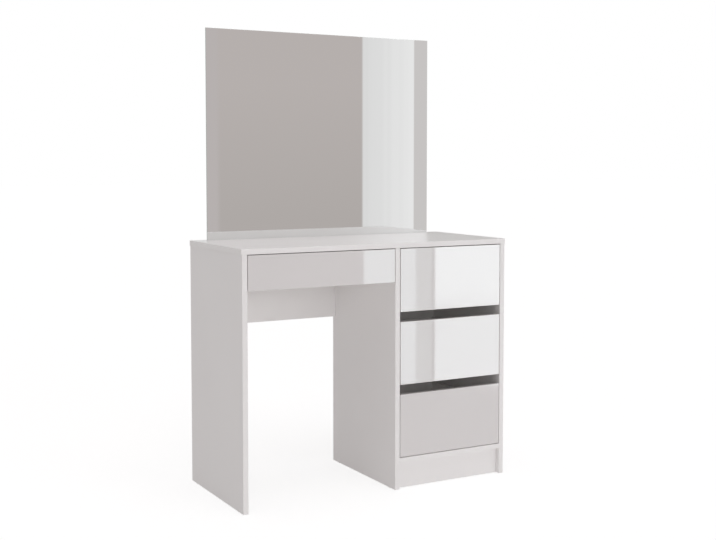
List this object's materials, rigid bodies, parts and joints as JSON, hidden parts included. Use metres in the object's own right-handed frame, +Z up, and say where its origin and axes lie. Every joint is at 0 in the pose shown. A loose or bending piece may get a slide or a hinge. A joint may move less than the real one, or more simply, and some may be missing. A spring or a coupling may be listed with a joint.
{
  "type": "dressing table",
  "caption": "White dressing table with a kneehole and its drawer, a pedestal of gloss-fronted drawers with finger gaps, and a frameless mirror standing on the top.",
  "frame": {"origin": "on the floor, under the middle of the table's box", "axes": "+X to the right seen from the front, +Y to the back, +Z up"},
  "size_m": [0.9, 0.404, 1.4],
  "materials": {
    "white_melamine": "matt white melamine board",
    "white_gloss": "high-gloss white lacquer",
    "drawer_white": "white foil on drawer board",
    "white_hardboard": "white lacquered hardboard",
    "mirror_glass": "silvered float glass",
    "zinc_steel": "zinc plated",
    "white_steel": "white epoxy coat",
    "roller_plastic": "nylon",
    "glide_plastic": "moulded",
    "beech": "turned beech"
  },
  "bodies": {
    "carcass": {"tabletop": "white_melamine", "left_side_panel": "white_melamine", "divider_panel": "white_melamine", "right_side_panel": "white_melamine", "pedestal_bottom_panel": "white_melamine", "plinth_board": "white_melamine", "modesty_panel": "white_melamine", "pedestal_rear_rail": "white_melamine", "pedestal_back_sheet": "white_hardboard", "mirror_backing_board": "white_melamine", "mirror_glass": "mirror_glass", "left_mirror_strap": "zinc_steel", "right_mirror_strap": "zinc_steel", "strap_screws": "zinc_steel", "wood_dowels": "beech", "cam_bolts": "zinc_steel", "cam_locks": "zinc_steel", "floor_glides": "glide_plastic", "runner_screws": "zinc_steel", "knee_cabinet_runners": "white_steel", "top_cabinet_runners": "white_steel", "middle_cabinet_runners": "white_steel", "bottom_cabinet_runners": "white_steel"},
    "knee_drawer": {"knee_drawer_front": "white_gloss", "knee_drawer_left_side": "drawer_white", "knee_drawer_right_side": "drawer_white", "knee_drawer_back": "drawer_white", "knee_drawer_bottom": "white_hardboard", "knee_drawer_fittings": "zinc_steel", "knee_drawer_runners": "white_steel"},
    "knee_front_rollers": {"knee_front_rollers": "roller_plastic"},
    "knee_rear_rollers": {"knee_rear_rollers": "roller_plastic"},
    "top_drawer": {"top_drawer_front": "white_gloss", "top_drawer_left_side": "drawer_white", "top_drawer_right_side": "drawer_white", "top_drawer_back": "drawer_white", "top_drawer_bottom": "white_hardboard", "top_drawer_fittings": "zinc_steel", "top_drawer_runners": "white_steel"},
    "top_front_rollers": {"top_front_rollers": "roller_plastic"},
    "top_rear_rollers": {"top_rear_rollers": "roller_plastic"},
    "middle_drawer": {"middle_drawer_front": "white_gloss", "middle_drawer_left_side": "drawer_white", "middle_drawer_right_side": "drawer_white", "middle_drawer_back": "drawer_white", "middle_drawer_bottom": "white_hardboard", "middle_drawer_fittings": "zinc_steel", "middle_drawer_runners": "white_steel"},
    "middle_front_rollers": {"middle_front_rollers": "roller_plastic"},
    "middle_rear_rollers": {"middle_rear_rollers": "roller_plastic"},
    "bottom_drawer": {"bottom_drawer_front": "white_gloss", "bottom_drawer_left_side": "drawer_white", "bottom_drawer_right_side": "drawer_white", "bottom_drawer_back": "drawer_white", "bottom_drawer_bottom": "white_hardboard", "bottom_drawer_fittings": "zinc_steel", "bottom_drawer_runners": "white_steel"},
    "bottom_front_rollers": {"bottom_front_rollers": "roller_plastic"},
    "bottom_rear_rollers": {"bottom_rear_rollers": "roller_plastic"}
  },
  "joints": [
    {"name": "knee_drawer_slide", "type": "slide", "parent": "carcass", "child": "knee_drawer", "axis": [0, -1, 0], "range_m": [0, 0.26]},
    {"name": "knee_front_roller_spin", "type": "hinge", "parent": "carcass", "child": "knee_front_rollers", "pos_m": [-0.192, -0.171, 0.6525], "axis": [1, 0, 0], "range_deg": [0, 1300]},
    {"name": "knee_rear_roller_spin", "type": "hinge", "parent": "knee_drawer", "child": "knee_rear_rollers", "pos_m": [-0.192, 0.149, 0.652], "axis": [1, 0, 0], "range_deg": [0, 1300]},
    {"name": "top_drawer_slide", "type": "slide", "parent": "carcass", "child": "top_drawer", "axis": [0, -1, 0], "range_m": [0, 0.26]},
    {"name": "top_front_roller_spin", "type": "hinge", "parent": "carcass", "child": "top_front_rollers", "pos_m": [0.248, -0.171, 0.56783], "axis": [1, 0, 0], "range_deg": [0, 1300]},
    {"name": "top_rear_roller_spin", "type": "hinge", "parent": "top_drawer", "child": "top_rear_rollers", "pos_m": [0.248, 0.149, 0.56733], "axis": [1, 0, 0], "range_deg": [0, 1300]},
    {"name": "middle_drawer_slide", "type": "slide", "parent": "carcass", "child": "middle_drawer", "axis": [0, -1, 0], "range_m": [0, 0.26]},
    {"name": "middle_front_roller_spin", "type": "hinge", "parent": "carcass", "child": "middle_front_rollers", "pos_m": [0.248, -0.171, 0.34717], "axis": [1, 0, 0], "range_deg": [0, 1300]},
    {"name": "middle_rear_roller_spin", "type": "hinge", "parent": "middle_drawer", "child": "middle_rear_rollers", "pos_m": [0.248, 0.149, 0.34667], "axis": [1, 0, 0], "range_deg": [0, 1300]},
    {"name": "bottom_drawer_slide", "type": "slide", "parent": "carcass", "child": "bottom_drawer", "axis": [0, -1, 0], "range_m": [0, 0.26]},
    {"name": "bottom_front_roller_spin", "type": "hinge", "parent": "carcass", "child": "bottom_front_rollers", "pos_m": [0.248, -0.171, 0.1265], "axis": [1, 0, 0], "range_deg": [0, 1300]},
    {"name": "bottom_rear_roller_spin", "type": "hinge", "parent": "bottom_drawer", "child": "bottom_rear_rollers", "pos_m": [0.248, 0.149, 0.126], "axis": [1, 0, 0], "range_deg": [0, 1300]}
  ],
  "couplings": [
    {"joint": "knee_front_roller_spin", "follows": "knee_drawer_slide", "rad_per_m": 86.957},
    {"joint": "knee_rear_roller_spin", "follows": "knee_drawer_slide", "rad_per_m": 86.957},
    {"joint": "top_front_roller_spin", "follows": "top_drawer_slide", "rad_per_m": 86.957},
    {"joint": "top_rear_roller_spin", "follows": "top_drawer_slide", "rad_per_m": 86.957},
    {"joint": "middle_front_roller_spin", "follows": "middle_drawer_slide", "rad_per_m": 86.957},
    {"joint": "middle_rear_roller_spin", "follows": "middle_drawer_slide", "rad_per_m": 86.957},
    {"joint": "bottom_front_roller_spin", "follows": "bottom_drawer_slide", "rad_per_m": 86.957},
    {"joint": "bottom_rear_roller_spin", "follows": "bottom_drawer_slide", "rad_per_m": 86.957}
  ]
}
